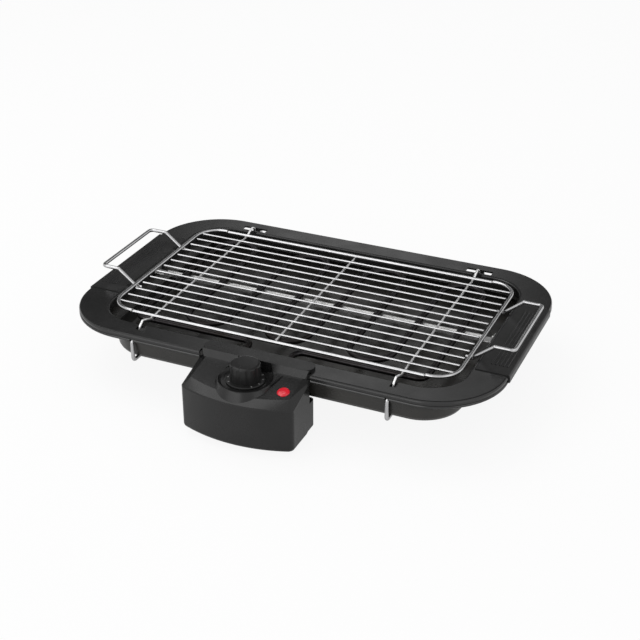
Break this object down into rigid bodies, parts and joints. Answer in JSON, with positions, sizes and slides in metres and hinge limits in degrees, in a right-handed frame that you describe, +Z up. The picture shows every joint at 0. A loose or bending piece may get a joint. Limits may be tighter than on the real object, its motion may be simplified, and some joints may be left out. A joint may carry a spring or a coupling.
{
  "type": "electric barbecue grill",
  "caption": "Open tabletop electric grill: lift-off wire rack over a sheathed element, ring frame with end grips, sliding drip tray, wire legs and a front thermostat box.",
  "frame": {"origin": "on the surface the grill stands on, under the centre of its outline", "axes": "+X to the right along the grill's length, +Y from the control box to the back, +Z up"},
  "size_m": [0.479, 0.3578, 0.0901],
  "materials": {
    "phenolic": "satin black moulded plastic",
    "grip_plastic": "satin black moulded plastic",
    "screw_steel": "zinc plated",
    "chrome_wire": "polished chrome plate",
    "foot_rubber": "matt",
    "element_sheath": "dark heat-tinted steel",
    "pin_brass": "plain",
    "strip_steel": "bright stainless",
    "box_plastic": "fine satin black",
    "ceramic": "unglazed white",
    "wire_sleeve": "glass-fibre sleeve",
    "fuse_metal": "plain",
    "knob_plastic": "semi-gloss black",
    "mark_paint": "pale print",
    "lens_red": "clear red",
    "lamp_glass": "clear",
    "tray_enamel": "gloss black enamel"
  },
  "bodies": {
    "base": {"frame_ring": "phenolic", "left_grip": "grip_plastic", "right_grip": "grip_plastic", "grip_screws": "screw_steel", "left_leg_wire": "chrome_wire", "right_leg_wire": "chrome_wire", "foot_sleeves": "foot_rubber", "heater_element": "element_sheath", "cold_pins": "pin_brass", "support_strip": "strip_steel", "strip_brackets": "strip_steel", "bracket_screws": "screw_steel", "lead_strap": "strip_steel", "strap_screws": "screw_steel", "box_housing": "box_plastic", "box_bottom_cover": "box_plastic", "box_rear_cover": "box_plastic", "box_screws": "screw_steel", "flange_screws": "screw_steel", "thermostat_body": "ceramic", "thermostat_contacts": "pin_brass", "terminal_blocks": "ceramic", "thermal_fuse": "fuse_metal", "inner_wires": "wire_sleeve", "cord_gland": "foot_rubber", "pilot_lens": "lens_red", "pilot_lamp": "lamp_glass"},
    "rack": {"rack_end_loops": "chrome_wire", "rack_outer_rods": "chrome_wire", "rack_bars": "chrome_wire", "rack_cross_wires": "chrome_wire", "left_handle": "chrome_wire", "right_handle": "chrome_wire"},
    "tray": {"drip_tray": "tray_enamel"},
    "knob": {"control_knob": "knob_plastic", "dial_skirt": "knob_plastic", "dial_marks": "mark_paint", "thermostat_spindle": "screw_steel"}
  },
  "joints": [
    {"name": "rack_lift", "type": "slide", "parent": "base", "child": "rack", "axis": [0, 0, 1], "range_m": [0, 0.15]},
    {"name": "tray_pull", "type": "slide", "parent": "base", "child": "tray", "axis": [1, 0, 0], "range_m": [-0.0115, 0.42]},
    {"name": "knob_turn", "type": "hinge", "parent": "base", "child": "knob", "pos_m": [0, -0.14355, 0.07], "axis": [0, 0, -1], "range_deg": [0, 270]}
  ]
}
